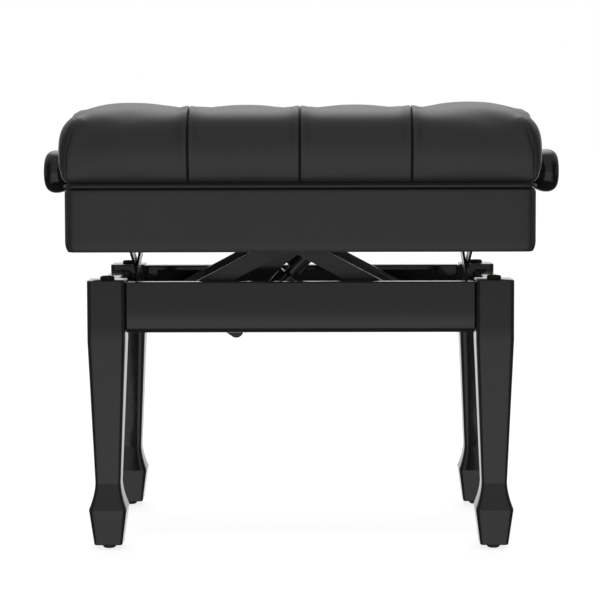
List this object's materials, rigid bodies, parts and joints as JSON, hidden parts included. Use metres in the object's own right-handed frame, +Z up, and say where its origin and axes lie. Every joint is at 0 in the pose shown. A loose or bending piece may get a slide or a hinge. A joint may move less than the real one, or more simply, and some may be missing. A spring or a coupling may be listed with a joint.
{
  "type": "piano bench",
  "caption": "Height-adjustable piano bench: tufted black cushion on a seat box, scissor lift turned by side knobs, gloss black wooden frame with spade feet.",
  "frame": {"origin": "floor level under the centre of the bench (bottom centre of the bounding box)", "axes": "+Z up, front faces -Y, +X to the right seen from the front, along the spindle"},
  "size_m": [0.636, 0.367, 0.525],
  "materials": {
    "black_lacquer": "gloss",
    "leatherette": "satin",
    "black_steel": "satin",
    "bright_steel": "satin",
    "knob_gloss": "polished",
    "rubber": "matte",
    "foam": "matte",
    "plywood": "matte"
  },
  "bodies": {
    "frame": {"front_left_leg": "black_lacquer", "front_right_leg": "black_lacquer", "rear_left_leg": "black_lacquer", "rear_right_leg": "black_lacquer", "front_left_foot_pad": "rubber", "front_right_foot_pad": "rubber", "rear_left_foot_pad": "rubber", "rear_right_foot_pad": "rubber", "front_left_bumper": "rubber", "front_right_bumper": "rubber", "rear_left_bumper": "rubber", "rear_right_bumper": "rubber", "front_rail": "black_lacquer", "rear_rail": "black_lacquer", "left_rail": "black_lacquer", "right_rail": "black_lacquer", "front_lower_channel": "black_steel", "rear_lower_channel": "black_steel", "lower_pivot_shaft": "bright_steel", "left_frame_link_channel": "black_steel", "right_frame_link_channel": "black_steel", "strut_crossbar": "black_steel"},
    "outer_arms": {"front_outer_arm": "black_steel", "rear_outer_arm": "black_steel", "front_nut_shaft": "bright_steel", "rear_nut_shaft": "bright_steel", "centre_shaft": "bright_steel", "strut_lever": "black_steel"},
    "inner_arms": {"front_inner_arm": "black_steel", "rear_inner_arm": "black_steel", "lower_slide_shaft": "bright_steel"},
    "seat": {"seat_board": "plywood", "front_panel": "leatherette", "rear_panel": "leatherette", "left_panel": "leatherette", "right_panel": "leatherette", "front_batten": "plywood", "rear_batten": "plywood", "front_upper_channel": "black_steel", "rear_upper_channel": "black_steel", "front_upper_pivot": "bright_steel", "rear_upper_pivot": "bright_steel", "left_seat_link_channel": "black_steel", "right_seat_link_channel": "black_steel", "left_spindle_bearing": "black_steel", "right_spindle_bearing": "black_steel", "seat_foam": "foam", "cushion_cover": "leatherette", "piping": "leatherette"},
    "spindle": {"spindle": "bright_steel", "left_knob": "knob_gloss", "right_knob": "knob_gloss"},
    "drive_nut": {"drive_nut": "bright_steel"},
    "left_rising_link": {"left_rising_link": "black_steel"},
    "left_crossed_link": {"left_crossed_link": "black_steel"},
    "right_rising_link": {"right_rising_link": "black_steel"},
    "right_crossed_link": {"right_crossed_link": "black_steel"},
    "strut_tube": {"strut_tube": "black_steel"},
    "strut_rod": {"strut_rod": "black_steel"}
  },
  "joints": [
    {"name": "lift", "type": "hinge", "parent": "frame", "child": "outer_arms", "pos_m": [-0.165, 0, 0.2815], "axis": [0, -1, 0], "range_deg": [-5.54, 12.12]},
    {"name": "arm_crossing", "type": "hinge", "parent": "outer_arms", "child": "inner_arms", "pos_m": [-0.01357, 0, 0.36201], "axis": [0, -1, 0], "range_deg": [-24.26, 11.1]},
    {"name": "seat_level", "type": "hinge", "parent": "inner_arms", "child": "seat", "pos_m": [-0.165, 0, 0.44253], "axis": [0, -1, 0], "range_deg": [-5.56, 12.14]},
    {"name": "nut_pivot", "type": "hinge", "parent": "outer_arms", "child": "drive_nut", "pos_m": [0.13785, 0, 0.44253], "axis": [0, -1, 0], "range_deg": [-12.14, 5.56]},
    {"name": "knob_turn", "type": "hinge", "parent": "seat", "child": "spindle", "pos_m": [0, 0, 0.44253], "axis": [1, 0, 0], "range_deg": [-1236.42, 2703.76]},
    {"name": "left_link_rise", "type": "hinge", "parent": "frame", "child": "left_rising_link", "pos_m": [-0.199, -0.0965, 0.29], "axis": [1, 0, 0], "range_deg": [-9.53, 20.83]},
    {"name": "left_link_crossing", "type": "hinge", "parent": "left_rising_link", "child": "left_crossed_link", "pos_m": [-0.2027, -0.00627, 0.32825], "axis": [1, 0, 0], "range_deg": [-41.64, 19.04]},
    {"name": "right_link_rise", "type": "hinge", "parent": "frame", "child": "right_rising_link", "pos_m": [0.199, -0.0965, 0.29], "axis": [1, 0, 0], "range_deg": [-9.53, 20.83]},
    {"name": "right_link_crossing", "type": "hinge", "parent": "right_rising_link", "child": "right_crossed_link", "pos_m": [0.2027, -0.00627, 0.32825], "axis": [1, 0, 0], "range_deg": [-41.64, 19.04]},
    {"name": "strut_foot", "type": "hinge", "parent": "frame", "child": "strut_tube", "pos_m": [-0.081, 0, 0.245], "axis": [0, -1, 0], "range_deg": [-6.19, 13.51]},
    {"name": "strut_head", "type": "hinge", "parent": "outer_arms", "child": "strut_rod", "pos_m": [0.062, 0, 0.4], "axis": [0, -1, 0], "range_deg": [-0.65, 1.39]}
  ],
  "couplings": [
    {"joint": "arm_crossing", "follows": "lift", "ratio": -2},
    {"joint": "seat_level", "follows": "lift", "ratio": 1},
    {"joint": "nut_pivot", "follows": "lift", "ratio": -1},
    {"joint": "knob_turn", "follows": "lift", "ratio": 223},
    {"joint": "left_link_rise", "follows": "lift", "ratio": 1.717},
    {"joint": "left_link_crossing", "follows": "lift", "ratio": -3.434},
    {"joint": "right_link_rise", "follows": "lift", "ratio": 1.717},
    {"joint": "right_link_crossing", "follows": "lift", "ratio": -3.434},
    {"joint": "strut_foot", "follows": "lift", "ratio": 1.113},
    {"joint": "strut_head", "follows": "lift", "ratio": 0.113}
  ]
}
